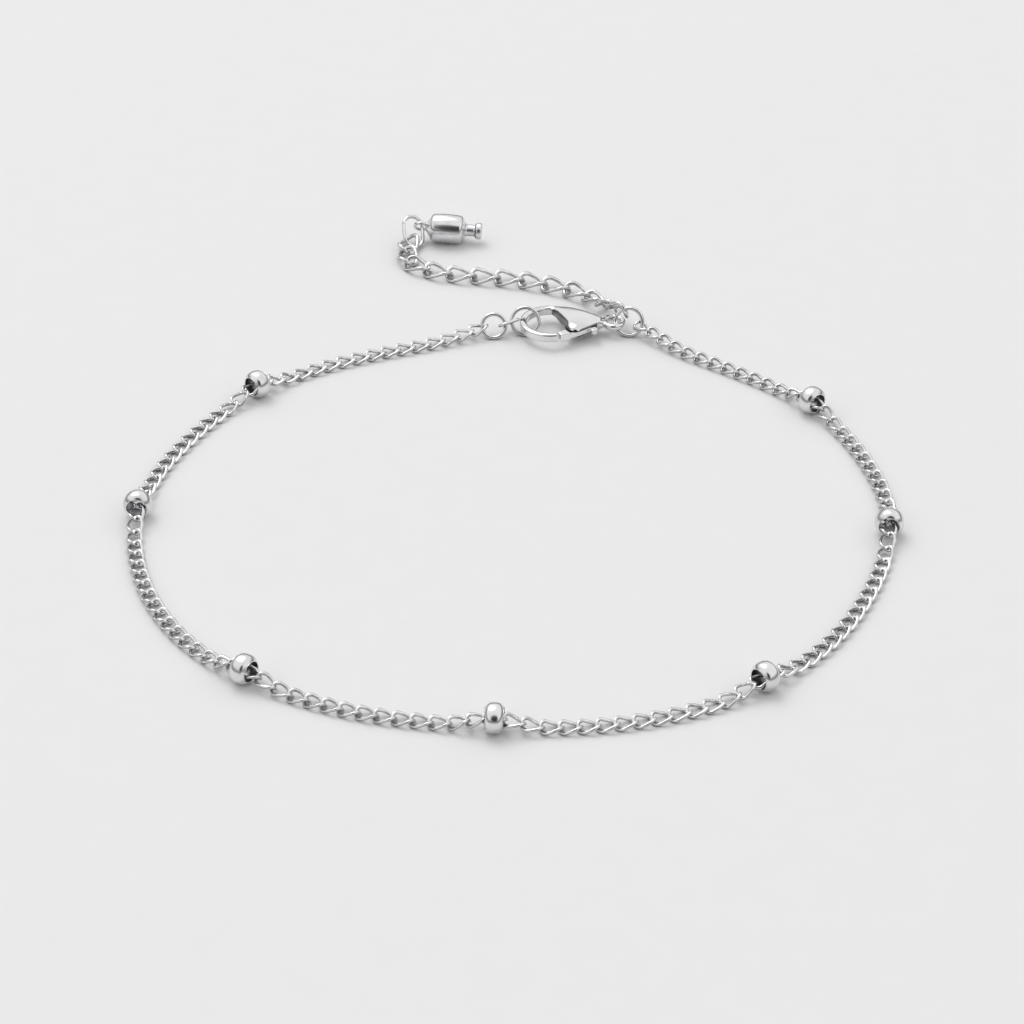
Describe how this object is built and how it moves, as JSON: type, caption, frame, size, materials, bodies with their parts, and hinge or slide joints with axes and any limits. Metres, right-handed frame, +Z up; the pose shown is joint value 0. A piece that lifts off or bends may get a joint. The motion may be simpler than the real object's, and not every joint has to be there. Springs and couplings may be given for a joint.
{
  "type": "chain anklet",
  "caption": "Fine curb chain anklet with drum beads, lobster clasp, jump rings, extender chain and a turned end drop, lying flat.",
  "frame": {"origin": "on the surface that the anklet lies on, under the middle of its bounding box", "axes": "+Z up from the surface, +Y from the front of the loop towards the clasp and the extender, +X to the right"},
  "size_m": [0.0792, 0.0954, 0.0038],
  "materials": {
    "chain": "polished",
    "bead": "mirror polished",
    "ring": "polished",
    "clasp": "tumbled and polished",
    "extender": "polished",
    "drop": "mirror polished"
  },
  "bodies": {
    "root": {"chain_left": "chain", "chain_right": "chain", "bead_1": "bead", "bead_2": "bead", "bead_3": "bead", "bead_4": "bead", "bead_5": "bead", "bead_6": "bead", "bead_7": "bead", "ring_chain": "ring", "link_join": "ring", "ring_hook": "ring", "ring_tail": "ring", "clasp_body": "clasp", "extender_chain": "extender", "ring_drop": "ring", "end_drop": "drop"},
    "gate": {"clasp_gate": "clasp"}
  },
  "joints": [
    {"name": "gate_hinge", "type": "hinge", "parent": "root", "child": "gate", "pos_m": [0.0082, 0.02369, 0.00138], "axis": [0, 0, -1], "range_deg": [0, 30], "stiffness_Nm_per_rad": 0.0005, "springref_deg": -5.73}
  ]
}
